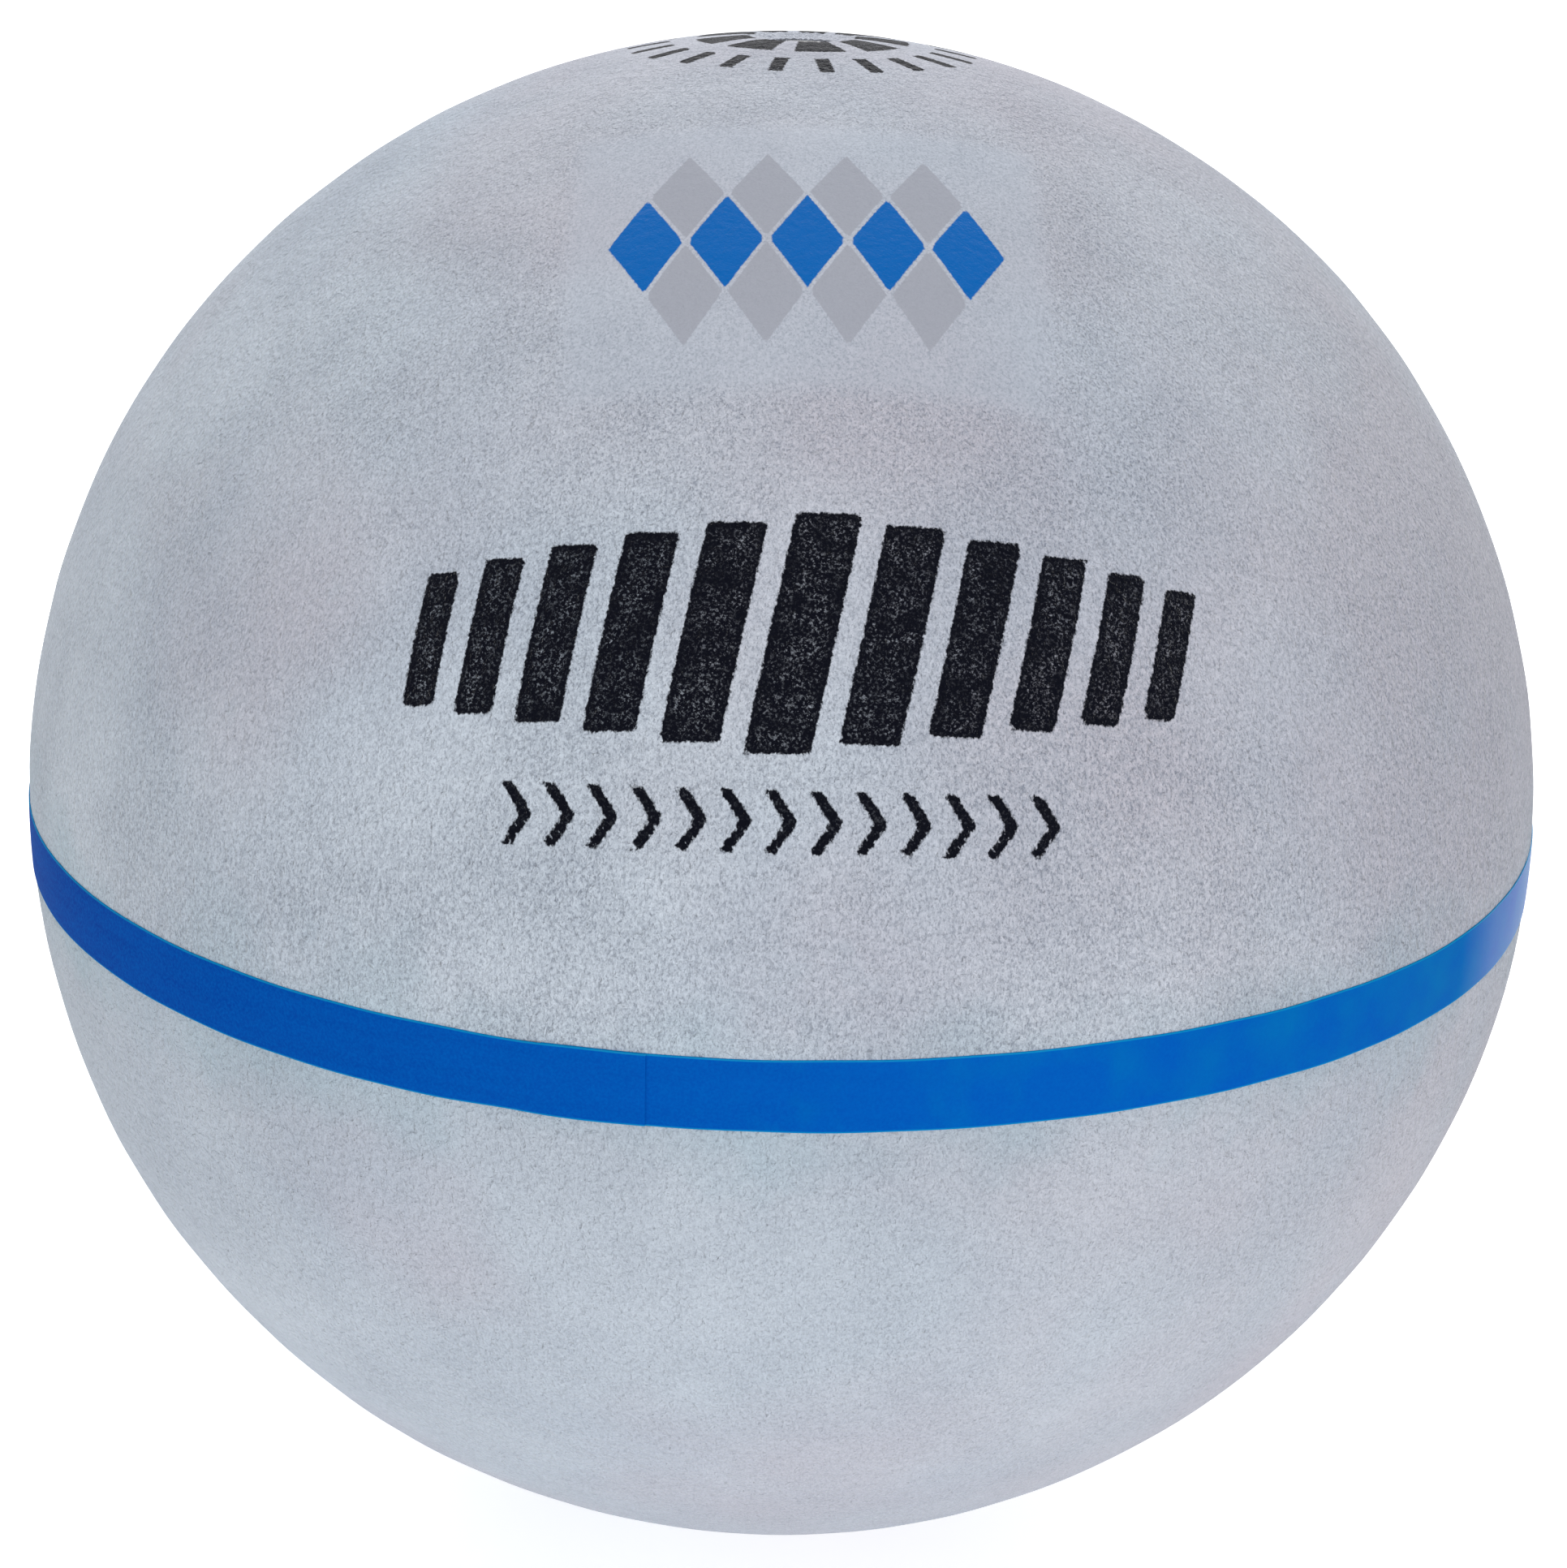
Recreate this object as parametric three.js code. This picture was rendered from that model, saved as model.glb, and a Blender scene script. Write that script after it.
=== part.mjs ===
// A prellball: an inflated leather ball for a team game in which it is struck to the floor.
// Two formed leather half shells meet in a scarf joint at the equator, under a lapped tape.
// Inside them lie their cloth linings, a thread winding, and a rubber bladder with its valve.
// Millimetres, origin at the centre of the ball, +Z out through the valve.

import * as THREE from 'three';

// Ball and layers, from the outside in
const BALL_DIAMETER = 210;
const LEATHER_THICKNESS = 1.6;
const LINING_THICKNESS = 0.6;
const WINDING_THICKNESS = 0.8;
const BLADDER_THICKNESS = 0.8;
const GLUE_LINE = 0.1;

// Joint of the two halves: slanted leather edges outside, a cloth tape inside
const SCARF_LENGTH = 6;
const SCARF_GAP = 0.3;
const JOINT_TAPE_WIDTH = 24;
const JOINT_TAPE_THICKNESS = 0.5;
const LINING_EDGE_GAP = 0.3;

// Band over the joint; its end lies over its start
const BAND_WIDTH = 8.8;
const BAND_THICKNESS = 0.3;
const BAND_LAP = 12;
const BAND_RAMP = 5;
const BAND_START_GAP = 0.4;
const BAND_END_DEGREES = -97.7;

// Leather drawn in round the valve, in small pleats
const LEATHER_EDGE = 0.6;
const DIMPLE_RADIUS = 8;
const PLEAT_COUNT = 12;
const PLEAT_DEPTH = 0.15;

// Valve housing
const VALVE_CLEARANCE = 0.3;
const VALVE_HEAD_RADIUS = 4.2;
const VALVE_HEAD_CHAMFER = 0.4;
const VALVE_RECESS = 0.1;
const VALVE_NECK_RADIUS = 5.5;
const FLANGE_RADIUS = 14;
const FLANGE_THICKNESS = 1.4;
const FLANGE_EDGE = 0.5;
const STEM_RADIUS = 4.5;
const STEM_FLOOR = 1.5;
const STEM_ROUNDING = 0.8;
const AIR_HOLE_RADIUS = 0.8;

// Plug that the pump needle pierces
const PLUG_FIT = 0.1;
const PLUG_HEAD_RADIUS = 2.6;
const PLUG_HEAD_HEIGHT = 1;
const PLUG_TOP_RADIUS = 2;
const PLUG_TIP_RADIUS = 1.6;
const PLUG_LENGTH = 12;
const PLUG_TIP_GAP = 0.5;
const NEEDLE_FUNNEL_RADIUS = 1.1;
const NEEDLE_FUNNEL_DEPTH = 2;
const NEEDLE_MARK_RADIUS = 0.3;

// Weight that balances the valve
const PATCH_RADIUS = 16;
const PATCH_THICKNESS = 2.4;
const PATCH_EDGE = 0.8;

// Facets: the hidden layers have half as many as the cover, at the same places
const FACETS_PER_PLEAT = 4;
const COVER_SEGMENTS = FACETS_PER_PLEAT * PLEAT_COUNT;
const COVER_RINGS = 12;
const LAYER_SEGMENTS = COVER_SEGMENTS / 2;
const LAYER_RINGS = COVER_RINGS / 2;
const DIMPLE_STEPS = 4;
const LEAST_RING_SPACING = THREE.MathUtils.degToRad(1);

// Radii of the layers
const COVER_OUTER = BALL_DIAMETER / 2;
const COVER_INNER = COVER_OUTER - LEATHER_THICKNESS;
const BACKING_OUTER = COVER_INNER - GLUE_LINE;
const LINING_INNER = BACKING_OUTER - LINING_THICKNESS;
const JOINT_TAPE_INNER = BACKING_OUTER - JOINT_TAPE_THICKNESS;
const WINDING_OUTER = Math.min(LINING_INNER, JOINT_TAPE_INNER) - GLUE_LINE;
const WINDING_INNER = WINDING_OUTER - WINDING_THICKNESS;
const BLADDER_OUTER = WINDING_INNER - GLUE_LINE;
const BLADDER_INNER = BLADDER_OUTER - BLADDER_THICKNESS;
const SEAT_RADIUS = BLADDER_INNER - GLUE_LINE;

// Polar angles, measured from +Z
const SOUTH_POLE = Math.PI;
const EQUATOR = Math.PI / 2;
const LAYER_HOLE = polarAngle(VALVE_NECK_RADIUS + VALVE_CLEARANCE, BLADDER_INNER);
const FLANGE_RIM = polarAngle(FLANGE_RADIUS, SEAT_RADIUS);
const PATCH_RIM = SOUTH_POLE - polarAngle(PATCH_RADIUS, SEAT_RADIUS);
const JOINT_TAPE_HALF = JOINT_TAPE_WIDTH / 2 / BACKING_OUTER;
const LINING_GAP_ANGLE = LINING_EDGE_GAP / BACKING_OUTER;
const SCARF_HALF = SCARF_LENGTH / 2 / COVER_OUTER;
const SCARF_GAP_ANGLE = SCARF_GAP / COVER_OUTER;

// Every layer has a ring of corners where a piece that lies against it begins or ends.
const SEAT_ANGLES = [
  LAYER_HOLE,
  FLANGE_RIM,
  EQUATOR - JOINT_TAPE_HALF,
  EQUATOR,
  EQUATOR + JOINT_TAPE_HALF,
  PATCH_RIM,
];

// Heights on the valve's axis
const LEATHER_HOLE_RADIUS = VALVE_HEAD_RADIUS + VALVE_CLEARANCE;
const VALVE_FACE = heightOnSphere(LEATHER_HOLE_RADIUS, COVER_INNER) + LEATHER_EDGE - VALVE_RECESS;
const NECK_TOP = heightOnSphere(VALVE_NECK_RADIUS, COVER_INNER) - VALVE_CLEARANCE;
const PLUG_SEAT = VALVE_FACE - PLUG_HEAD_HEIGHT - PLUG_FIT;
const PLUG_TIP = VALVE_FACE - PLUG_HEAD_HEIGHT - PLUG_LENGTH;
const BORE_FLOOR = PLUG_TIP - PLUG_TIP_GAP;
const STEM_END = BORE_FLOOR - STEM_FLOOR;

function polarAngle(reach, radius) {
  return Math.asin(reach / radius);
}

function heightOnSphere(reach, radius) {
  return Math.sqrt(radius * radius - reach * reach);
}

function onSphere(radius, polar) {
  return new THREE.Vector2(radius * Math.sin(polar), radius * Math.cos(polar));
}

function at(reach, height) {
  return new THREE.Vector2(reach, height);
}

// Even rings from pole to pole, which give way to the seats near them
function ringAngles(ringsPerQuarter) {
  const angles = [...SEAT_ANGLES];
  for (let ring = 1; ring < 2 * ringsPerQuarter; ring++) {
    const angle = (ring * EQUATOR) / ringsPerQuarter;
    const clear = SEAT_ANGLES.every((seat) => Math.abs(seat - angle) > LEAST_RING_SPACING);
    if (clear) angles.push(angle);
  }
  return angles.sort((a, b) => a - b);
}

// Profile of a spherical layer from one polar angle down to another
function arcDown(radius, from, to, ringsPerQuarter) {
  const between = ringAngles(ringsPerQuarter).filter((angle) => angle > from && angle < to);
  return [from, ...between, to].map((angle) => onSphere(radius, angle));
}

function arcUp(radius, from, to, ringsPerQuarter) {
  return arcDown(radius, to, from, ringsPerQuarter).reverse();
}

// Turns a profile, given anticlockwise with the axis on its left, about Z
function revolve(profile, segments) {
  return new THREE.LatheGeometry(profile, segments).rotateX(Math.PI / 2);
}

function closeProfile(profile) {
  return [...profile, profile[0]];
}

function material(color, roughness) {
  return new THREE.MeshStandardMaterial({ color, roughness, metalness: 0 });
}

const LEATHER_UPPER = material(0xb0b7c3, 0.9);
const LEATHER_LOWER = material(0xb8bfca, 0.9);
const VINYL_TAPE = material(0x0059b9, 0.35);
const COTTON_CLOTH = material(0xd9d3c4, 0.95);
const POLYESTER_THREAD = material(0xe8e4d8, 0.7);
const BUTYL_RUBBER = material(0x2a2a2c, 0.6);
const VALVE_RUBBER = material(0x1c1c1e, 0.55);

// Share of the way from the dimple's rim, 0, to the edge of the leather at the valve, 1
function dimpleShare(reach) {
  const share = (DIMPLE_RADIUS - reach) / (DIMPLE_RADIUS - LEATHER_HOLE_RADIUS);
  return THREE.MathUtils.clamp(share, 0, 1);
}

// The leather thins towards the valve, so its outside curves down into the dimple.
function dimpleProfile() {
  const points = [];
  for (let step = 1; step <= DIMPLE_STEPS; step++) {
    const share = step / DIMPLE_STEPS;
    const reach = THREE.MathUtils.lerp(DIMPLE_RADIUS, LEATHER_HOLE_RADIUS, share);
    const drop = (LEATHER_THICKNESS - LEATHER_EDGE) * THREE.MathUtils.smoothstep(share, 0, 1);
    points.push(at(reach, heightOnSphere(reach, COVER_OUTER) - drop));
  }
  return points;
}

// Raises and lowers the outside of the dimple in radial folds that deepen towards the valve
function pleatDimple(geometry) {
  const corner = new THREE.Vector3();
  const position = geometry.attributes.position;
  for (let index = 0; index < position.count; index++) {
    corner.fromBufferAttribute(position, index);
    const reach = Math.hypot(corner.x, corner.y);
    const isOutside = corner.length() > COVER_INNER + LEATHER_EDGE / 2;
    if (corner.z < 0 || !isOutside) continue;
    const fold = Math.cos(PLEAT_COUNT * Math.atan2(corner.x, -corner.y));
    position.setZ(index, corner.z + PLEAT_DEPTH * dimpleShare(reach) * fold);
  }
  return geometry;
}

function makeUpperCover() {
  const dimpleRim = polarAngle(DIMPLE_RADIUS, COVER_OUTER);
  const holeRim = polarAngle(LEATHER_HOLE_RADIUS, COVER_INNER);
  const profile = [
    ...arcUp(COVER_OUTER, EQUATOR + SCARF_HALF, dimpleRim, COVER_RINGS),
    ...dimpleProfile(),
    ...arcDown(COVER_INNER, holeRim, EQUATOR - SCARF_HALF, COVER_RINGS),
  ];
  return pleatDimple(revolve(closeProfile(profile), COVER_SEGMENTS));
}

function makeLowerCover() {
  const profile = [
    ...arcUp(COVER_OUTER, SOUTH_POLE, EQUATOR + SCARF_HALF + SCARF_GAP_ANGLE, COVER_RINGS),
    ...arcDown(COVER_INNER, EQUATOR - SCARF_HALF + SCARF_GAP_ANGLE, SOUTH_POLE, COVER_RINGS),
  ];
  return revolve(profile, COVER_SEGMENTS);
}

// A shell between two radii, open at a hole round the valve and closed at the south pole
function makeClosedLayer(outer, inner, top) {
  const profile = [
    ...arcUp(outer, SOUTH_POLE, top, LAYER_RINGS),
    ...arcDown(inner, top, SOUTH_POLE, LAYER_RINGS),
  ];
  return revolve(profile, LAYER_SEGMENTS);
}

// A ring between two radii and two polar angles
function makeRingLayer(outer, inner, top, bottom) {
  const profile = [
    ...arcUp(outer, bottom, top, LAYER_RINGS),
    ...arcDown(inner, top, bottom, LAYER_RINGS),
  ];
  return revolve(closeProfile(profile), LAYER_SEGMENTS);
}

function makeUpperLining() {
  const bottom = EQUATOR - JOINT_TAPE_HALF - LINING_GAP_ANGLE;
  return makeRingLayer(BACKING_OUTER, LINING_INNER, LAYER_HOLE, bottom);
}

function makeLowerLining() {
  const top = EQUATOR + JOINT_TAPE_HALF + LINING_GAP_ANGLE;
  return makeClosedLayer(BACKING_OUTER, LINING_INNER, top);
}

function makeJointTape() {
  const top = EQUATOR - JOINT_TAPE_HALF;
  const bottom = EQUATOR + JOINT_TAPE_HALF;
  return makeRingLayer(BACKING_OUTER, JOINT_TAPE_INNER, top, bottom);
}

function makeWinding() {
  return makeClosedLayer(WINDING_OUTER, WINDING_INNER, LAYER_HOLE);
}

function makeBladder() {
  return makeClosedLayer(BLADDER_OUTER, BLADDER_INNER, LAYER_HOLE);
}

// Azimuths of the band's sections, from its start under the lap, once round, to its end over it
function bandAzimuths() {
  const lap = BAND_LAP / COVER_OUTER;
  const end = THREE.MathUtils.degToRad(BAND_END_DEGREES) + 2 * Math.PI;
  const startAgain = end - lap;
  const start = startAgain - 2 * Math.PI;
  const liftDone = startAgain - BAND_START_GAP / COVER_OUTER;
  const liftBegins = liftDone - BAND_RAMP / COVER_OUTER;
  const marks = [start, start + lap, liftBegins, liftDone, startAgain, end];
  const azimuths = [...marks];
  const step = (2 * Math.PI) / COVER_SEGMENTS;
  for (let count = Math.ceil(start / step); count * step < end; count++) {
    const clear = marks.every((mark) => Math.abs(mark - count * step) > LEAST_RING_SPACING / 2);
    if (clear) azimuths.push(count * step);
  }
  azimuths.sort((a, b) => a - b);
  return { azimuths, liftBegins, liftDone };
}

// Six corners of the band's section, which follows the ball's curve across its width
function bandSection(azimuth, lift) {
  const halfAngle = BAND_WIDTH / 2 / COVER_OUTER;
  const inner = COVER_OUTER + GLUE_LINE + lift;
  const outer = inner + BAND_THICKNESS;
  const corners = [
    [inner, EQUATOR + halfAngle],
    [inner, EQUATOR],
    [inner, EQUATOR - halfAngle],
    [outer, EQUATOR - halfAngle],
    [outer, EQUATOR],
    [outer, EQUATOR + halfAngle],
  ];
  return corners.map(([radius, polar]) => {
    const reach = radius * Math.sin(polar);
    const height = radius * Math.cos(polar);
    return new THREE.Vector3(reach * Math.cos(azimuth), reach * Math.sin(azimuth), height);
  });
}

function pushQuad(indices, a, b, c, d) {
  indices.push(a, b, c, a, c, d);
}

// Skins a list of sections, each with its inner corners first and its outer ones back again,
// and closes both ends between the two
function loftSections(sections) {
  const size = sections[0].length;
  const indices = [];
  for (let row = 0; row < sections.length - 1; row++) {
    for (let side = 0; side < size; side++) {
      const next = (side + 1) % size;
      const here = row * size;
      const there = here + size;
      pushQuad(indices, here + side, here + next, there + next, there + side);
    }
  }
  const last = (sections.length - 1) * size;
  for (let inner = 0; inner < size / 2 - 1; inner++) {
    const outer = size - 1 - inner;
    pushQuad(indices, outer, outer - 1, inner + 1, inner);
    pushQuad(indices, last + inner, last + inner + 1, last + outer - 1, last + outer);
  }
  const geometry = new THREE.BufferGeometry().setFromPoints(sections.flat());
  geometry.setIndex(indices);
  geometry.computeVertexNormals();
  return geometry;
}

function makeSeamBand() {
  const { azimuths, liftBegins, liftDone } = bandAzimuths();
  const fullLift = BAND_THICKNESS + GLUE_LINE;
  const sections = azimuths.map((azimuth) => {
    const share = (azimuth - liftBegins) / (liftDone - liftBegins);
    return bandSection(azimuth, fullLift * THREE.MathUtils.clamp(share, 0, 1));
  });
  return loftSections(sections);
}

// Rubber housing: flange bonded inside the bladder, neck through the layers, head in the leather,
// stem that hangs into the ball and grips the plug
function makeValveBody() {
  const flangeFoot = onSphere(SEAT_RADIUS - FLANGE_THICKNESS, polarAngle(STEM_RADIUS, SEAT_RADIUS));
  const profile = [
    at(AIR_HOLE_RADIUS, STEM_END),
    at(STEM_RADIUS - STEM_ROUNDING, STEM_END),
    at(STEM_RADIUS, STEM_END + STEM_ROUNDING),
    at(STEM_RADIUS, flangeFoot.y),
    onSphere(SEAT_RADIUS - FLANGE_EDGE, FLANGE_RIM),
    onSphere(SEAT_RADIUS, FLANGE_RIM),
    onSphere(SEAT_RADIUS, LAYER_HOLE),
    at(VALVE_NECK_RADIUS, heightOnSphere(VALVE_NECK_RADIUS, SEAT_RADIUS)),
    at(VALVE_NECK_RADIUS, NECK_TOP),
    at(VALVE_HEAD_RADIUS, NECK_TOP),
    at(VALVE_HEAD_RADIUS, VALVE_FACE - VALVE_HEAD_CHAMFER),
    at(VALVE_HEAD_RADIUS - VALVE_HEAD_CHAMFER, VALVE_FACE),
    at(PLUG_HEAD_RADIUS + PLUG_FIT, VALVE_FACE),
    at(PLUG_HEAD_RADIUS + PLUG_FIT, PLUG_SEAT),
    at(PLUG_TOP_RADIUS + PLUG_FIT, PLUG_SEAT),
    at(PLUG_TIP_RADIUS + PLUG_FIT, PLUG_TIP),
    at(PLUG_TIP_RADIUS + PLUG_FIT, BORE_FLOOR),
    at(AIR_HOLE_RADIUS, BORE_FLOOR),
  ];
  return revolve(closeProfile(profile), LAYER_SEGMENTS);
}

// Self-sealing insert: a head flush with the housing, a tapered shank, a funnel for the needle
function makeValvePlug() {
  const profile = [
    at(0, PLUG_TIP),
    at(PLUG_TIP_RADIUS, PLUG_TIP),
    at(PLUG_TOP_RADIUS, PLUG_SEAT + PLUG_FIT),
    at(PLUG_HEAD_RADIUS, PLUG_SEAT + PLUG_FIT),
    at(PLUG_HEAD_RADIUS, VALVE_FACE),
    at(NEEDLE_FUNNEL_RADIUS, VALVE_FACE),
    at(NEEDLE_MARK_RADIUS, VALVE_FACE - NEEDLE_FUNNEL_DEPTH),
    at(0, VALVE_FACE - NEEDLE_FUNNEL_DEPTH),
  ];
  return revolve(profile, LAYER_SEGMENTS);
}

// Rubber disc bonded inside the bladder at the south pole, thinner at its rim
function makeBalancePatch() {
  const profile = [
    onSphere(SEAT_RADIUS, SOUTH_POLE),
    onSphere(SEAT_RADIUS, PATCH_RIM),
    onSphere(SEAT_RADIUS - PATCH_EDGE, PATCH_RIM),
    onSphere(SEAT_RADIUS - PATCH_THICKNESS, (PATCH_RIM + SOUTH_POLE) / 2),
    onSphere(SEAT_RADIUS - PATCH_THICKNESS, SOUTH_POLE),
  ];
  return revolve(profile, LAYER_SEGMENTS);
}

const ball = new THREE.Group();

function addPiece(name, geometry, finish) {
  const mesh = new THREE.Mesh(geometry, finish);
  mesh.name = name;
  ball.add(mesh);
}

addPiece('upper_cover', makeUpperCover(), LEATHER_UPPER);
addPiece('lower_cover', makeLowerCover(), LEATHER_LOWER);
addPiece('seam_band', makeSeamBand(), VINYL_TAPE);
addPiece('upper_lining', makeUpperLining(), COTTON_CLOTH);
addPiece('lower_lining', makeLowerLining(), COTTON_CLOTH);
addPiece('joint_tape', makeJointTape(), COTTON_CLOTH);
addPiece('winding', makeWinding(), POLYESTER_THREAD);
addPiece('bladder', makeBladder(), BUTYL_RUBBER);
addPiece('valve_body', makeValveBody(), VALVE_RUBBER);
addPiece('valve_plug', makeValvePlug(), VALVE_RUBBER);
addPiece('balance_patch', makeBalancePatch(), BUTYL_RUBBER);

export default ball;
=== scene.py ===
"""Prellball ball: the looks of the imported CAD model. Lengths are millimetres until a mesh is made, and the
studio's are metres."""

import math
from collections import namedtuple

import bmesh
import bpy
import numpy as np
from mathutils import Euler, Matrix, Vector


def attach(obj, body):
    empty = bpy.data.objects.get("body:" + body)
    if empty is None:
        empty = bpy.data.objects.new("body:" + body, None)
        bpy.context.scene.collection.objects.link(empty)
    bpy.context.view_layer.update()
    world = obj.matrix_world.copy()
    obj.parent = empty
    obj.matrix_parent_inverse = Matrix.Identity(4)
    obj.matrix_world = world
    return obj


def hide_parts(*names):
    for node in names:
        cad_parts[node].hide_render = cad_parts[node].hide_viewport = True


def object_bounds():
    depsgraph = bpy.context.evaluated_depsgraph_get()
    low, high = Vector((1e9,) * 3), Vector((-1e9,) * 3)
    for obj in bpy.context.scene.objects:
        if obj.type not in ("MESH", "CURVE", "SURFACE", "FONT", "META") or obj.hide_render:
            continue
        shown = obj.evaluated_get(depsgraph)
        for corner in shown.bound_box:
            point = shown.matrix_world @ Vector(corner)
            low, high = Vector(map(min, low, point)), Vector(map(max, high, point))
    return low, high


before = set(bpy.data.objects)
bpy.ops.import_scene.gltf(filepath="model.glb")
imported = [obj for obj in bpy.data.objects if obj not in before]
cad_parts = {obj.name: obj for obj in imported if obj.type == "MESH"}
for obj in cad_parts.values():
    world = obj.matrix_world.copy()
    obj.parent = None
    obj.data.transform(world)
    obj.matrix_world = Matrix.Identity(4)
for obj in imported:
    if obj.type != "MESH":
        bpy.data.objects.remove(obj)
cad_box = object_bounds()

MM = 0.001
FULL_TURN = 2 * math.pi
EQUATOR = math.pi / 2

# Camera, found from the ball's outline, the band's curve and the valve's place in the photograph
PHOTO_HEIGHT = 1932
CAMERA_DISTANCE = 420
CAMERA_ELEVATION = math.radians(19.25)
CAMERA_ROLL = math.radians(1.6)
CAMERA_LENS = 66.86
CAMERA_SENSOR = 36
# The frame's middle, in the photograph's pixels right of and above the ball's
FRAMING_SHIFT = (2.35, -1.77)

# Leather: the fine forms that the CAD solids leave out, the waves as lengths and heights
FORM_WAVES = ((48, 0.05), (11, 0.02))
WAVE_DIRECTIONS = 24
DIMPLE_RADIUS = 8
DIMPLE_DEPTH = 1.0
DIMPLE_PAST_HOLE = 1
CALM_RADIUS = 3 * DIMPLE_RADIUS
PLEATS = 29
PLEAT_DEPTH = 0.2
PLEAT_START, PLEAT_FULL = DIMPLE_RADIUS + 2, DIMPLE_RADIUS - 2.5
# The pleats crowd and spread: shift in radians, times round the valve, phase
PLEAT_SHIFTS = ((1.9, 3, 0.7), (1.3, 7, 2.1))

# Nap: the lean of its tufts, and the scale of its pattern along them
NAP_LEAN = math.radians(14)
NAP_STRETCH = 0.6
# Change of the nap's painted sheen, a warmer hue, and of the painted shade in its gaps, for each metre to
# the right or away from the band
PAINTED_SHEEN_TO_RIGHT, PAINTED_SHEEN_FROM_BAND = 2.0, 1.2
PAINTED_SHADE_TO_RIGHT = 1.4
# Where wrinkles start and are full to the right, and their height beside that of the grain
WRINKLED_BETWEEN = (45, 95)
WRINKLE_HEIGHT = 1.3
# Where dye from the tape starts and is full, as distances from the band's middle
DYED_BETWEEN = (20, 5)
# Places in the hide, in metres, picked so that the clouds lie much as on the photographed ball
UPPER_CUT = (-3.78, -2.65, -4.54)
LOWER_CUT = (-1.42, 3.44, -3.03)

# Band
TAPE_THICKNESS = 0.15
TAPE_LAP = 12
TAPE_RAMP = 5
TAPE_END = math.radians(-97.7)
TAPE_LIFT = 0.01
TAPE_WANDER, WANDER_LENGTH = 0.12, 90
TAPE_WAVINESS, WAVINESS_LENGTH = 0.04, 14
# Half of its section from the middle: shares of the half width and of the thickness
TAPE_SECTION = ((0, 1), (0.4, 1), (0.7, 1), (0.93, 1), (0.97, 1), (0.99, 0.9), (1, 0.55))
# Where it turns from painted shade on the left to painted light, and where its gloss is left, from left to
# right
PAINTED_LIGHT_BETWEEN = (-90, 30)
GLOSSY_BETWEEN = (85, 91)
# Change of its clouds and its painted light, lighter and greener, for each metre to the right
PAINTED_LIGHT_TO_RIGHT = 4

# Layers inside: bundles of thread, drawn wider than one 0.5 mm thread so that the mesh can hold them, and
# cloth with 14 threads to the centimetre
THREAD_BUNDLES = 40
BUNDLE_WIDTH = 5
BUNDLE_HEIGHT = 0.25
CLOTH_SPACING = 10 / 14

# Turned pieces
EDGE_ROUNDING = 0.12

# Seeds of the random fields
WANDER_SEED, WAVINESS_SEED, THREAD_SEED = 5, 6, 8

# Widest steps of the meshes, in degrees round the pieces and in radians along the tape and down the layers
FRONT_STEP, BACK_STEP = 0.4, 2.5
LOWER_STEP = 1.5
INNER_STEP = 3
TURNED_STEP = 3.75
TAPE_STEP = math.radians(0.75)
LOWER_RING_STEP = math.radians(1.25)
LAYER_STEP = math.radians(2.5)
# The upper leather's mesh is finest where the prints are: in degrees from the front, and arcs from the valve
FRONT_AZIMUTH = -90
FINE_FRONT = 34
VALVE_PRINT_END, BAR_PRINT_START, BAR_PRINT_END = 26, 90, 145

# Stamped black bars, from the middle one to those at the ends
BAR_COUNT = 11
BAR_PLACE = (math.radians(1.2), math.radians(28.3))
BAR_WIDTHS = (7.4, 4.0)
BAR_HEIGHTS = (27, 15)
BAR_GAP = 2.8
BAR_LEAN = 0.2

# Stamped row of chevrons
CHEVRON_COUNT = 13
CHEVRON_PLACE = (0, math.radians(16.9))
CHEVRON_PITCH = 4.9
CHEVRON_HEIGHT = 7
CHEVRON_POINT = 2.4
CHEVRON_STROKE = 1.25

# Lozenges in two colours on a transfer film: how many are in each row, and the row's place
LOZENGE_PLACE = (math.radians(1.2), math.radians(56))
LOZENGE_HALF = (4.7, 8.2)
LOZENGE_GAP = 0.5
LOZENGE_ROWS = ((4, 1), (5, 0), (4, -1))
FILM_HALF = (28, 22)
FILM_FADE = 1.5

# Marks round the valve
BLOCK_COUNT = 9
BLOCK_REACH = (7.0, 14.2)
BLOCK_SHARE = 0.7
STROKE_COUNT = 22
STROKE_REACH = (17.6, 23.4)
STROKE_WIDTH = 1.9

# A print's signed distance where there is none near
FAR_OUTSIDE = -9.0

# Studio: the floor adds these shares of white for the camera, near the ball and far from it, so that the
# ground is pale up to the horizon and keeps the shadow
FLOOR_REACH = 9
FLOOR_LIFTS = (0.6, 0.9)
FLOOR_LIFT_REACH = (0.3, 1.5)
WORLD_LIGHT = 0.48

# Corners of the CAD model this close to a radius, or to a plane, lie on it
SAME_RADIUS = 0.05
SAME_PLANE = 0.001
# Decimals that a corner is read to
DECIMALS = 3
# Points of a mesh this close, in metres, are one, and edges that turn by more than this stay sharp
SAME_POINT = 1e-7
SHARP_EDGE = math.radians(40)

# Sockets of a Mix node that mixes colours
COLOUR_A, COLOUR_B, COLOUR_RESULT = 6, 7, 2

# One side of a round layer, with its first and last polar angle
Surface = namedtuple("Surface", "radius first last")


def linear(hex_colour):
    """The linear RGBA value of an sRGB colour."""
    channels = [int(hex_colour[i:i + 2], 16) / 255 for i in (1, 3, 5)]
    return [c / 12.92 if c <= 0.04045 else ((c + 0.055) / 1.055) ** 2.4 for c in channels] + [1]


def smooth_step(start, end, x):
    """Goes from 0 at start to 1 at end without corners."""
    share = np.clip((x - start) / (end - start), 0, 1)
    return share * share * (3 - 2 * share)


def mixed(ends, share):
    """A value between the first and the second of two ends."""
    return ends[0] + (ends[1] - ends[0]) * share


def stations(*stretches):
    """Rising values: each stretch is its start, its end and the widest step in it."""
    values = []
    for start, end, step in stretches:
        values.append(np.linspace(start, end, math.ceil((end - start) / step), endpoint=False))
    return np.concatenate(values)


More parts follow.
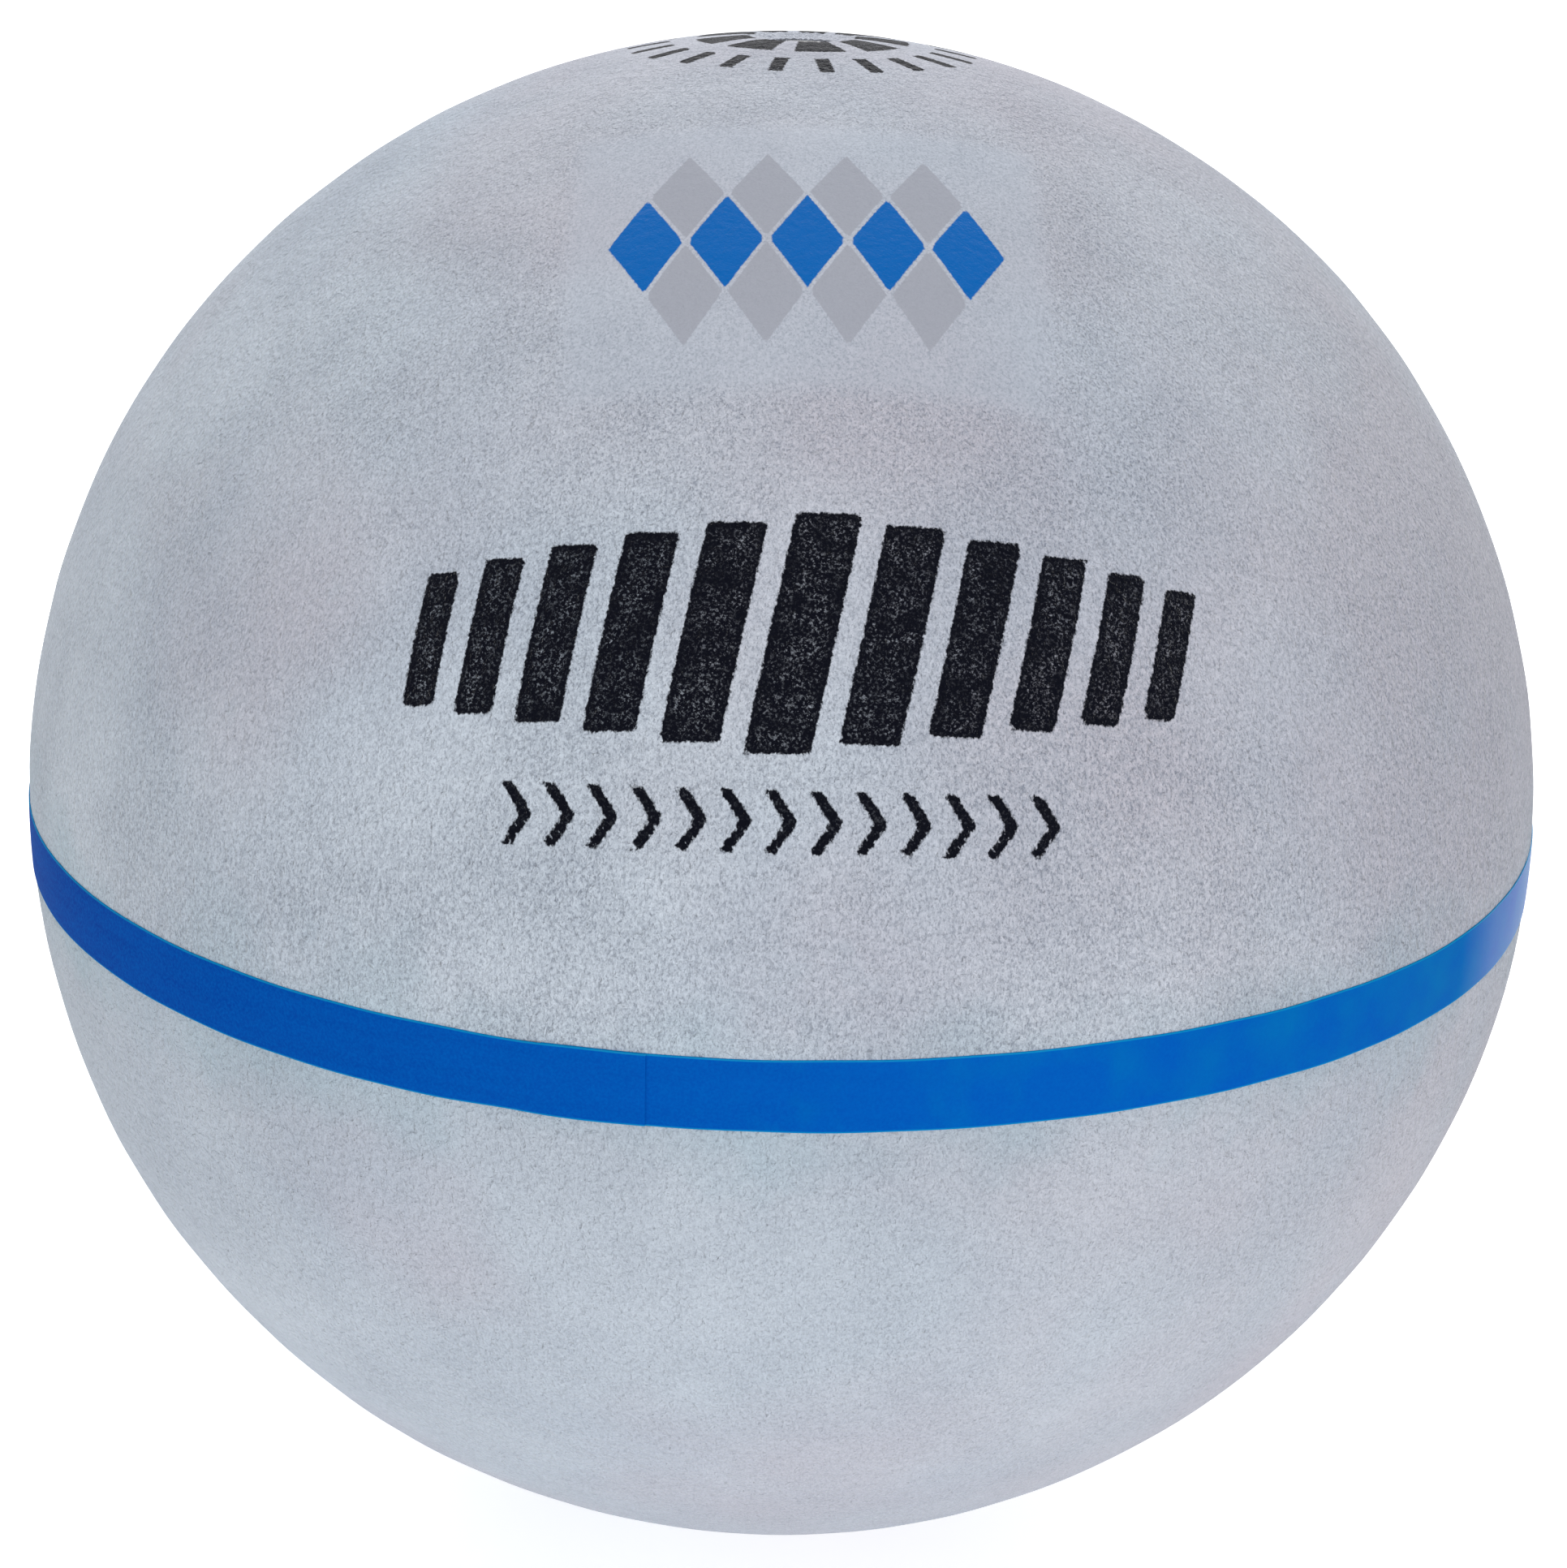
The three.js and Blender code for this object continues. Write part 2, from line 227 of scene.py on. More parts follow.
def all_round(step):
    """Azimuths all round, with a step in degrees."""
    return np.radians(stations((0, 360, step)))


def on_sphere(polar, azimuth, radius=1.0):
    """Points at a polar angle from +Z and an azimuth from +X."""
    polar, azimuth, radius = np.broadcast_arrays(polar, azimuth, radius)
    reach = radius * np.sin(polar)
    return np.stack([reach * np.cos(azimuth), reach * np.sin(azimuth), radius * np.cos(polar)], axis=-1)


def waves(points, wavelength, seed):
    """A smooth random field of unit spread, the same on each run."""
    random = np.random.default_rng(seed)
    directions = random.normal(size=(WAVE_DIRECTIONS, 3))
    directions *= FULL_TURN / wavelength / np.linalg.norm(directions, axis=1, keepdims=True)
    phases = random.uniform(0, FULL_TURN, WAVE_DIRECTIONS)
    return np.cos(points @ directions.T + phases).sum(axis=-1) / math.sqrt(WAVE_DIRECTIONS / 2)


def surfaces_of(node):
    """The inner and the outer surface of a round CAD layer."""
    corners = np.array([corner.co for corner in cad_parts[node].data.vertices]) / MM
    radius = np.linalg.norm(corners, axis=1)
    polar = np.arccos(np.clip(corners[:, 2] / radius, -1, 1))
    surfaces = []
    for surface in (radius.min(), radius.max()):
        on_surface = polar[np.abs(radius - surface) < SAME_RADIUS]
        surfaces.append(Surface(surface, on_surface.min(), on_surface.max()))
    return surfaces


def profile_of(node):
    """The outline of a turned CAD node in the plane of +X and Z, as distances and heights in order."""
    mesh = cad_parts[node].data
    neighbours = {}
    for edge in mesh.edges:
        ends = [mesh.vertices[i].co / MM for i in edge.vertices]
        if all(abs(end.y) < SAME_PLANE and end.x > -SAME_PLANE for end in ends):
            first, second = [(round(end.x, DECIMALS), round(end.z, DECIMALS)) for end in ends]
            neighbours.setdefault(first, set()).add(second)
            neighbours.setdefault(second, set()).add(first)
    # An outline that is open ends on the axis, at corners with one neighbour.
    ends = [corner for corner in neighbours if len(neighbours[corner]) == 1]
    outline = [max(ends or neighbours)]
    while True:
        onward = [corner for corner in sorted(neighbours[outline[-1]]) if corner not in outline]
        if not onward:
            return outline
        outline.append(onward[0])


def grid_piece(name, grid, material, node, body="ball", wrap_rows=False, caps=False, marks=None):
    """A piece from rows of points, each row a closed loop, that replaces a CAD node and rides on its body.
    The marks are distances at its points that its material reads."""
    rows, columns = grid.shape[:2]
    index = np.arange(rows * columns).reshape(rows, columns)
    if wrap_rows:
        index = np.vstack([index, index[:1]])
    onward = np.roll(index, -1, axis=1)
    quads = np.stack([index[:-1], onward[:-1], onward[1:], index[1:]], axis=-1).reshape(-1, 4)
    faces = quads.tolist()
    if caps:
        faces += [index[0].tolist(), index[-1, ::-1].tolist()]
    mesh = bpy.data.meshes.new(name)
    mesh.from_pydata((grid.reshape(-1, 3) * MM).tolist(), [], faces)
    for mark, distances in (marks or {}).items():
        attribute = mesh.attributes.new(mark, "FLOAT", "POINT")
        attribute.data.foreach_set("value", np.ascontiguousarray(distances, dtype=np.float32).ravel())

    shape = bmesh.new()
    shape.from_mesh(mesh)
    bmesh.ops.remove_doubles(shape, verts=shape.verts, dist=SAME_POINT)
    bmesh.ops.recalc_face_normals(shape, faces=shape.faces)
    shape.to_mesh(mesh)
    shape.free()
    mesh.polygons.foreach_set("use_smooth", [True] * len(mesh.polygons))
    mesh.set_sharp_from_angle(angle=SHARP_EDGE)
    mesh.materials.append(material)
    piece = bpy.data.objects.new(name, mesh)
    bpy.context.scene.collection.objects.link(piece)
    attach(piece, body)
    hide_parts(node)
    return piece


def add_node(owner, kind, inputs, **settings):
    """Adds a node. Each input is a value to set or another node's output to link."""
    tree = owner.node_tree
    node = tree.nodes.new(kind)
    for name, value in settings.items():
        setattr(node, name, value)
    for socket, value in inputs.items():
        if isinstance(value, bpy.types.NodeSocket):
            tree.links.new(value, node.inputs[socket])
        else:
            node.inputs[socket].default_value = value
    return node


def new_material(name):
    """An empty node material."""
    material = bpy.data.materials.new(name)
    material.use_nodes = True
    material.node_tree.nodes.clear()
    return material


def tinted(material, colour, fields, tints):
    """Lays tints over a colour. Each comes in between two levels of its field, up to a share."""
    for field, start, full, share, tint in tints:
        level = add_node(material, "ShaderNodeMapRange",
                         {"Value": fields[field], "From Min": start, "From Max": full, "To Max": share})
        colour = add_node(material, "ShaderNodeMix",
                          {"Factor": level.outputs[0], COLOUR_A: colour, COLOUR_B: linear(tint)},
                          data_type="RGBA").outputs[COLOUR_RESULT]
    return colour


def finish_material(material, inputs):
    """Ends a material in a Principled shader with these inputs."""
    shader = add_node(material, "ShaderNodeBsdfPrincipled", inputs)
    add_node(material, "ShaderNodeOutputMaterial", {"Surface": shader.outputs["BSDF"]})
    return material


# Sizes taken from the frame

leather_inside, leather_outside = surfaces_of("upper_cover")
ball_radius = leather_outside.radius
hole_radius = leather_inside.radius * math.sin(leather_inside.first)
_, lower_outside = surfaces_of("lower_cover")
_, tape_outside = surfaces_of("seam_band")
tape_width = ball_radius * (tape_outside.last - tape_outside.first)
floor_height = cad_box[0][2]


# Materials

def napped_leather(name, tone, shade, fewest, most, cut, printed):
    """Chrome leather with the nap side out: pale matt fibres with painted shade in the gaps between them,
    more of it in cloudy patches, and broad shifts of hue where the hide took up more or less dye, with a
    painted sheen that warms the hue to the right and away from the band. The cut is the place in the hide
    that the
    half comes from: it says where the clouds lie. The fewest and the most are the shares of painted shade in
    the gaps outside and inside the clouds."""
    material = new_material(name)
    place = add_node(material, "ShaderNodeTexCoord", {}).outputs["Object"]
    # The nap is brushed downwards with a slight lean, so its tufts and gaps are longer that way.
    brushed = add_node(
        material, "ShaderNodeMapping",
        {"Vector": place, "Rotation": (0, NAP_LEAN, 0), "Scale": (1, 1, NAP_STRETCH)}).outputs[0]
    in_hide = add_node(material, "ShaderNodeVectorMath", {0: place, 1: cut}, operation="ADD").outputs[0]
    # Each field's width is in millimetres. Single fibres are too fine for the render to show, so they are
    # drawn as coarse as it needs.
    fields = {}
    for field, vector, width, detail, roughness in (
        ("tufts", brushed, 0.42, 2, 0.7),
        ("gaps", brushed, 0.28, 1, 0.7),
        ("wrinkles", brushed, 2.0, 2, 0.5),
        ("fibres", place, 0.34, 3, 0.7),
        ("clumps", place, 2.2, 2, 0.5),
        ("grain", place, 1.3, 3, 0.6),
        ("clouds", in_hide, 24, 5, 0.6),
        ("cool", place, 60, 3, 0.5),
        ("warm", place, 46, 2, 0.5),
        ("dye", place, 22, 4, 0.55),
    ):
        noise = add_node(
            material, "ShaderNodeTexNoise",
            {"Vector": vector, "Scale": 1 / (width * MM), "Detail": detail, "Roughness": roughness})
        fields[field] = noise.outputs["Fac"]

    # Blue dye bleeds out of the tape into the leather beside it, so its field fades away from the band.
    along = add_node(material, "ShaderNodeSeparateXYZ", {"Vector": place}).outputs
    from_band = add_node(material, "ShaderNodeMath", {0: along["Z"]}, operation="ABSOLUTE").outputs[0]
    fading = add_node(
        material, "ShaderNodeMapRange",
        {"Value": from_band, "From Min": DYED_BETWEEN[0] * MM, "From Max": DYED_BETWEEN[1] * MM,
         "To Min": -0.25, "To Max": 0.06}).outputs[0]
    fields["bled"] = add_node(
        material, "ShaderNodeMath", {0: fields["dye"], 1: fading}, operation="ADD").outputs[0]
    # Painted sheen: the hue turns a little warmer to the right and away from the band, over the hide's own
    # warm patches.
    to_right = add_node(
        material, "ShaderNodeMath", {0: along["X"], 1: PAINTED_SHEEN_TO_RIGHT, 2: fields["warm"]},
        operation="MULTIPLY_ADD").outputs[0]
    fields["warm_and_painted_sheen"] = add_node(
        material, "ShaderNodeMath", {0: from_band, 1: PAINTED_SHEEN_FROM_BAND, 2: to_right},
        operation="MULTIPLY_ADD").outputs[0]
    # The gaps carry more painted shade in the clouds, and more still to the right.
    gap_shade_level = add_node(
        material, "ShaderNodeMath", {0: along["X"], 1: PAINTED_SHADE_TO_RIGHT, 2: fields["clouds"]},
        operation="MULTIPLY_ADD").outputs[0]
    density = add_node(
        material, "ShaderNodeMapRange",
        {"Value": gap_shade_level, "From Min": 0.34, "From Max": 0.68, "To Min": fewest, "To Max": most}).outputs[0]

    # Of these tints, the warmer hue to the right and away from the band is painted sheen, and the darkening
    # by tufts and gaps is painted shade of the nap's relief; the others are the hide's own colour.
    colour = tinted(material, linear(tone), fields, (
        ("clouds", 0.34, 0.68, 0.3, "#A4AEBC"),
        ("cool", 0.42, 0.72, 0.5, "#AEB8C9"),
        ("warm_and_painted_sheen", 0.45, 0.78, 0.6, "#C7BFC9"),
        ("bled", 0.42, 0.68, 0.34, "#98BCC9"),
        ("tufts", 0.36, 0.68, density, shade),
        ("gaps", 0.5, 0.66, density, "#6E7585"),
    ))
    roughness, relief = 0.92, 1
    if printed:
        colour, roughness, relief = print_on(material, colour, fields)

    # The tufts stand on a coarser grain that shows where light grazes it, with wrinkles to the right.
    wrinkled = add_node(
        material, "ShaderNodeMapRange",
        {"Value": along["X"], "From Min": WRINKLED_BETWEEN[0] * MM, "From Max": WRINKLED_BETWEEN[1] * MM,
         "To Max": WRINKLE_HEIGHT}).outputs[0]
    height = add_node(
        material, "ShaderNodeMath", {0: fields["wrinkles"], 1: wrinkled, 2: fields["grain"]},
        operation="MULTIPLY_ADD").outputs[0]
    grain_bump = add_node(
        material, "ShaderNodeBump",
        {"Height": height, "Strength": relief, "Distance": 0.9 * MM}).outputs[0]
    bump = add_node(
        material, "ShaderNodeBump",
        {"Height": fields["tufts"], "Strength": relief, "Distance": 0.25 * MM, "Normal": grain_bump},
        invert=True).outputs[0]
    return finish_material(material, {
        "Base Color": colour, "Roughness": roughness, "Normal": bump,
        "IOR": 1.5, "Specular IOR Level": 0.05, "Sheen Weight": 0.26, "Sheen Roughness": 0.3,
    })


def print_on(material, colour, fields):
    """Transfer film, its two colours, and black stamping ink that the nap takes up unevenly. Gives the
    colour, the roughness and the share of the nap's relief that still shows."""
    # A print's edge creeps along the fibres, so its signed distance is shifted by the tufts.
    creep = add_node(
        material, "ShaderNodeMapRange",
        {"Value": fields["tufts"], "From Min": 0.25, "From Max": 0.75,
         "To Min": -0.28, "To Max": 0.28}).outputs[0]
    distances = {}
    shares = {}
    for mark, softness, cover, creeping in (
        ("film", FILM_FADE, 0.4, 0),
        ("grey_print", 0.08, 0.85, 0.15),
        ("blue_print", 0.08, 1, 0.25),
        ("black_print", 0.1, 1, 0.7),
    ):
        distances[mark] = add_node(material, "ShaderNodeAttribute", {}, attribute_name=mark).outputs["Fac"]
        shifted = add_node(
            material, "ShaderNodeMath", {0: creep, 1: creeping, 2: distances[mark]},
            operation="MULTIPLY_ADD").outputs[0]
        shares[mark] = add_node(
            material, "ShaderNodeMapRange",
            {"Value": shifted, "From Min": -softness, "From Max": softness, "To Max": cover}).outputs[0]

    # Grey fibres show through the black ink in clumps, but few of them along its rim, where the ink pooled.
    clumped = add_node(
        material, "ShaderNodeMapRange",
        {"Value": fields["clumps"], "From Min": 0.35, "From Max": 0.7,
         "To Min": 0.08, "To Max": 0.9}).outputs[0]
    standing = add_node(
        material, "ShaderNodeMapRange",
        {"Value": fields["fibres"], "From Min": 0.52, "From Max": 0.78, "To Max": clumped}).outputs[0]
    off_rim = add_node(
        material, "ShaderNodeMapRange",
        {"Value": distances["black_print"], "From Min": 0.3, "From Max": 1.2, "To Min": 0.15}).outputs[0]
    bare = add_node(material, "ShaderNodeMath", {0: standing, 1: off_rim}, operation="MULTIPLY").outputs[0]
    inked = add_node(material, "ShaderNodeMath", {0: 1, 1: bare}, operation="SUBTRACT").outputs[0]
    shares["black_print"] = add_node(
        material, "ShaderNodeMath", {0: shares["black_print"], 1: inked}, operation="MULTIPLY").outputs[0]

    for mark, ink in (
        ("film", "#AEB6C2"),
        ("grey_print", "#A0A3AE"),
        ("blue_print", "#0062B2"),
        ("black_print", "#0B0D17"),
    ):
        colour = add_node(
            material, "ShaderNodeMix", {"Factor": shares[mark], COLOUR_A: colour, COLOUR_B: linear(ink)},
            data_type="RGBA").outputs[COLOUR_RESULT]
    roughness = add_node(
        material, "ShaderNodeMapRange",
        {"Value": shares["blue_print"], "To Min": 0.92, "To Max": 0.5}).outputs[0]
    # The film bridges the nap, so little of the relief shows on it.
    relief = add_node(
        material, "ShaderNodeMapRange",
        {"Value": distances["film"], "From Min": -FILM_FADE, "From Max": FILM_FADE,
         "To Min": 1, "To Max": 0.35}).outputs[0]
    return colour, roughness, relief


def calendered_tape():
    """Vinyl tape, rolled smooth: a clear blue with faint streaks along it and cloudy patches, with painted
    shade to the left and painted light, lighter and greener, to the right, small pale nicks and a painted
    highlight along its edges. Its gloss is worn off except near the right end."""
    material = new_material("calendered glossy vinyl tape, blue")
    place = add_node(material, "ShaderNodeTexCoord", {}).outputs["Object"]
    # The rolls draw the streaks out along the tape.
    drawn = add_node(material, "ShaderNodeMapping", {"Vector": place, "Scale": (0.07, 0.07, 1)}).outputs[0]
    fields = {}
    for field, vector, width, detail in (
        ("streaks", drawn, 1.1, 3),
        ("mottle", place, 0.35, 2),
        ("clouds", place, 8, 5),
        ("nicks", place, 1.2, 2),
    ):
        noise = add_node(material, "ShaderNodeTexNoise",
                         {"Vector": vector, "Scale": 1 / (width * MM), "Detail": detail})
        fields[field] = noise.outputs["Fac"]
    fields["side"] = add_node(material, "ShaderNodeSeparateXYZ", {"Vector": place}).outputs["X"]
    fields["clouds_and_painted_light"] = add_node(
        material, "ShaderNodeMath", {0: fields["side"], 1: PAINTED_LIGHT_TO_RIGHT, 2: fields["clouds"]},
        operation="MULTIPLY_ADD").outputs[0]
    fields["edge"] = add_node(material, "ShaderNodeAttribute", {}, attribute_name="from_edge").outputs["Fac"]

    # The tints by side and by the clouds to the right are painted light: the tape is painted darker to the
    # left and lighter and greener to the right.
    colour = tinted(material, linear("#003C98"), fields, (
        ("streaks", 0.35, 0.7, 1, "#0046A2"),
        ("side", PAINTED_LIGHT_BETWEEN[0] * MM, PAINTED_LIGHT_BETWEEN[1] * MM, 0.9, "#0058BA"),
        ("mottle", 0.35, 0.7, 0.45, "#0066C0"),
        ("clouds_and_painted_light", 0.56, 1.08, 0.8, "#0074B6"),
        ("nicks", 0.8, 0.88, 0.35, "#7FB2DE"),
        # The tint at the edges is a painted highlight along the tape's rounded edges.
        ("edge", 0.26, 0.16, 0.7, "#0E8FC0"),
    ))
    gloss = add_node(
        material, "ShaderNodeMapRange",
        {"Value": fields["side"], "From Min": GLOSSY_BETWEEN[0] * MM, "From Max": GLOSSY_BETWEEN[1] * MM,
         "To Min": 0.03, "To Max": 0.26}).outputs[0]
    roughness = add_node(
        material, "ShaderNodeMapRange",
        {"Value": fields["clouds"], "From Min": 0.35, "From Max": 0.7,
         "To Min": 0.3, "To Max": 0.5}).outputs[0]
    bump = add_node(
        material, "ShaderNodeBump",
        {"Height": fields["streaks"], "Strength": 0.2, "Distance": 0.05 * MM}).outputs[0]
    return finish_material(material, {
        "Base Color": colour, "Roughness": roughness, "Normal": bump, "Specular IOR Level": 0,
        "Coat Weight": gloss, "Coat Roughness": 0.12,
    })


def woven_cotton():
    """Undyed plain-woven cotton: pale threads that cross over and under, with thicker ones among them."""
    material = new_material("plain-woven cotton, undyed")
    place = add_node(material, "ShaderNodeTexCoord", {}).outputs["Object"]
    # A brick of this pattern is half a unit long and stands for one thread where it lies on top.
    weave = add_node(
        material, "ShaderNodeTexBrick",
        {"Vector": place, "Scale": 0.5 / (CLOTH_SPACING * MM), "Color1": linear("#D9D3C4"),
         "Color2": linear("#CBC4B2"), "Mortar": linear("#8F8775"), "Mortar Size": 0.06})
    slubs = add_node(
        material, "ShaderNodeTexNoise", {"Vector": place, "Scale": 1 / (5 * MM), "Detail": 3}).outputs["Fac"]
    colour = tinted(material, weave.outputs["Color"], {"slubs": slubs}, (
        ("slubs", 0.45, 0.75, 0.4, "#B9AF99"),
    ))
    bump = add_node(
        material, "ShaderNodeBump",
        {"Height": weave.outputs["Fac"], "Strength": 0.4, "Distance": 0.1 * MM}, invert=True).outputs[0]
    return finish_material(material, {
        "Base Color": colour, "Roughness": 0.95, "Normal": bump, "Sheen Weight": 0.2,
    })


def wound_thread():
    """Undyed polyester thread: pale, slightly shiny, with a fine twist in each bundle."""
    material = new_material("wound polyester thread, undyed")
    place = add_node(material, "ShaderNodeTexCoord", {}).outputs["Object"]
    twist = add_node(
        material, "ShaderNodeTexNoise",
        {"Vector": place, "Scale": 1 / (0.8 * MM), "Detail": 2, "Distortion": 1.5}).outputs["Fac"]
    colour = tinted(material, linear("#CFC7B4"), {"twist": twist}, (
        ("twist", 0, 1, 1, "#F1ECDF"),
    ))
    bump = add_node(
        material, "ShaderNodeBump", {"Height": twist, "Strength": 0.5, "Distance": 0.1 * MM}).outputs[0]
    return finish_material(material, {
        "Base Color": colour, "Roughness": 0.6, "Normal": bump, "Sheen Weight": 0.15,
    })


def rubber(name, dark, bloom, grain, rough):
    """Black rubber with a greyish bloom in patches and the fine grain that its mould or dip left."""
    material = new_material(name)
    place = add_node(material, "ShaderNodeTexCoord", {}).outputs["Object"]
    patches = add_node(
        material, "ShaderNodeTexNoise", {"Vector": place, "Scale": 1 / (3 * MM), "Detail": 4}).outputs["Fac"]
    pits = add_node(
        material, "ShaderNodeTexNoise",
        {"Vector": place, "Scale": 1 / (grain * MM), "Detail": 2}).outputs["Fac"]
    colour = tinted(material, linear(dark), {"patches": patches}, (
        ("patches", 0, 1, 1, bloom),
    ))
    roughness = add_node(
        material, "ShaderNodeMapRange",
        {"Value": patches, "To Min": rough - 0.1, "To Max": rough + 0.1}).outputs[0]
    bump = add_node(
        material, "ShaderNodeBump", {"Height": pits, "Strength": 0.3, "Distance": 0.04 * MM}).outputs[0]
    return finish_material(material, {
        "Base Color": colour, "Roughness": roughness, "Normal": bump, "IOR": 1.52,
    })


# Prints, as signed distances in millimetres, above zero inside

def around(directions, place):
    """Distances right and up on the ball from a place, given as azimuth right of the front and latitude."""
    azimuth, latitude = place
    centre = on_sphere(EQUATOR - latitude, azimuth - EQUATOR)
    right = on_sphere(EQUATOR, azimuth)
    up = np.cross(centre, right)
    across = np.arctan2(directions @ right, directions @ centre)
    return ball_radius * across, ball_radius * np.arcsin(np.clip(directions @ up, -1, 1))


def bar_print(directions):
    """Slanted bars side by side, the widest and highest in the middle."""
    right, up = around(directions, BAR_PLACE)
    middle = (BAR_COUNT - 1) / 2
    shares = [abs(i - middle) / middle for i in range(BAR_COUNT)]
    widths = [mixed(BAR_WIDTHS, share) for share in shares]
    left = -(sum(widths) + BAR_GAP * (BAR_COUNT - 1)) / 2
    nearest = np.full(right.shape, FAR_OUTSIDE)
    for share, width in zip(shares, widths):
        sideways = width / 2 - np.abs(right - BAR_LEAN * up - left - width / 2)
        upright = mixed(BAR_HEIGHTS, share) / 2 - np.abs(up)
        nearest = np.maximum(nearest, np.minimum(sideways, upright))
        left += width + BAR_GAP
    return nearest


def chevron_print(directions):
    """A row of thin chevrons that point to the right."""
    right, up = around(directions, CHEVRON_PLACE)
    half = CHEVRON_HEIGHT / 2
    slope = CHEVRON_POINT / half
    nearest = np.full(right.shape, FAR_OUTSIDE)
    for i in range(CHEVRON_COUNT):
        tip = (i - (CHEVRON_COUNT - 1) / 2) * CHEVRON_PITCH + CHEVRON_POINT / 2
        off_line = np.abs(right - tip + slope * np.abs(up)) / math.hypot(1, slope)
        nearest = np.maximum(nearest, np.minimum(CHEVRON_STROKE / 2 - off_line, half - np.abs(up)))
    return nearest


def lozenge_print(directions, wanted_rows):
    """Lozenges of those rows, corner to corner, with a narrow gap between neighbours."""
    right, up = around(directions, LOZENGE_PLACE)
    half_width, half_height = LOZENGE_HALF
    scale = half_width * half_height / math.hypot(half_width, half_height)
    nearest = np.full(right.shape, FAR_OUTSIDE)
    for count, row in wanted_rows:
        for i in range(count):
            across = np.abs(right - (2 * i - count + 1) * half_width) / half_width
            upward = np.abs(up - row * half_height) / half_height
            nearest = np.maximum(nearest, (1 - across - upward) * scale - LOZENGE_GAP / 2)
    return nearest


def film_print(directions):
    """The faint rectangle of the film that carried the lozenges."""
    right, up = around(directions, LOZENGE_PLACE)
    return np.minimum(FILM_HALF[0] - np.abs(right), FILM_HALF[1] - np.abs(up))


def valve_print(polar, azimuth):
    """Wedge-shaped blocks and an outer ring of bold strokes round the valve."""
    reach = ball_radius * polar
    nearest = np.full(reach.shape, FAR_OUTSIDE)
    rings = (
        (BLOCK_COUNT, BLOCK_REACH, BLOCK_SHARE * math.pi / BLOCK_COUNT * reach),
        (STROKE_COUNT, STROKE_REACH, STROKE_WIDTH / 2),
    )
    for count, (start, end), half_width in rings:
        pitch = FULL_TURN / count
        off_centre = np.abs((azimuth + pitch / 2) % pitch - pitch / 2) * reach
        inside = np.minimum(np.minimum(reach - start, end - reach), half_width - off_centre)
        nearest = np.maximum(nearest, inside)
    return nearest


def upper_marks(polar, azimuth):
    """Signed distances of all prints on the upper half. The middle row of lozenges is blue."""
    directions = on_sphere(polar, azimuth)
    black = np.maximum(bar_print(directions), chevron_print(directions))
    return {
        "black_print": np.maximum(black, valve_print(polar, azimuth)),
        "blue_print": lozenge_print(directions, [row for row in LOZENGE_ROWS if row[1] == 0]),
        "grey_print": lozenge_print(directions, [row for row in LOZENGE_ROWS if row[1] != 0]),
        "film": film_print(directions),
    }


# Round layers

def layer(name, node, material, azimuths, outer_polars=None, outer_radius=None, marks_at=None):
    """A round layer between the two surfaces of its CAD node, with an outside that may be formed and
    marked."""
    inner, outer = surfaces_of(node)
    if outer_polars is None:
        outer_polars = stations((outer.first, outer.last, LAYER_STEP))
    outer_polars = np.append(outer_polars, outer.last)
    inner_polars = np.append(stations((inner.first, inner.last, LAYER_STEP)), inner.last)[::-1]
    polar, azimuth = np.meshgrid(np.concatenate([outer_polars, inner_polars]), azimuths, indexing="ij")
    radius = np.full(polar.shape, inner.radius)
    outside = slice(len(outer_polars))
    radius[outside] = outer_radius(polar[outside], azimuth[outside]) if outer_radius else outer.radius
    marks = marks_at(polar, azimuth) if marks_at else None
    grid = on_sphere(polar, azimuth, radius)
    grid_piece(name, grid, material, node, wrap_rows=True, marks=marks)


def formed(polar, azimuth):
    """Radius of the outside of the leather: nearly round, pressed flat under the tape, drawn in at the
    valve."""
    points = on_sphere(polar, azimuth, ball_radius)
    radius = np.full(points.shape[:-1], ball_radius)
    from_band = np.abs(points[..., 2])
    reach = np.hypot(points[..., 0], points[..., 1])
    above = points[..., 2] > 0
    calm = smooth_step(tape_width / 2, tape_width, from_band) * smooth_step(0, CALM_RADIUS, reach)
    for seed, (wavelength, height) in enumerate(FORM_WAVES):
        radius = radius + calm * height * waves(points, wavelength, seed)
    drawn_in = np.where(above, smooth_step(DIMPLE_RADIUS, hole_radius - DIMPLE_PAST_HOLE, reach), 0)
    uneven = azimuth * PLEATS
    for shift, times, phase in PLEAT_SHIFTS:
        uneven = uneven + shift * np.sin(times * azimuth + phase)
    # Some pleats are deeper than others.
    folds = (0.5 + 0.5 * np.cos(uneven)) ** 2 * (0.7 + 0.3 * np.sin(5 * azimuth + 1))
    pleated = np.where(above, smooth_step(PLEAT_START, PLEAT_FULL, reach), 0)
    return radius - DIMPLE_DEPTH * drawn_in - PLEAT_DEPTH * pleated * folds


def thread_relief(polar, azimuth):
    """Radius of the winding: bundles of thread that run round great circles and cross each other."""
    random = np.random.default_rng(THREAD_SEED)
    axes = random.normal(size=(THREAD_BUNDLES, 3))
    axes /= np.linalg.norm(axes, axis=1, keepdims=True)
    _, outer = surfaces_of("winding")
    off_circle = np.abs(np.arcsin(np.clip(on_sphere(polar, azimuth) @ axes.T, -1, 1))) * outer.radius
    return outer.radius - BUNDLE_HEIGHT * smooth_step(0, BUNDLE_WIDTH / 2, off_circle).min(axis=-1)


# Band and turned pieces

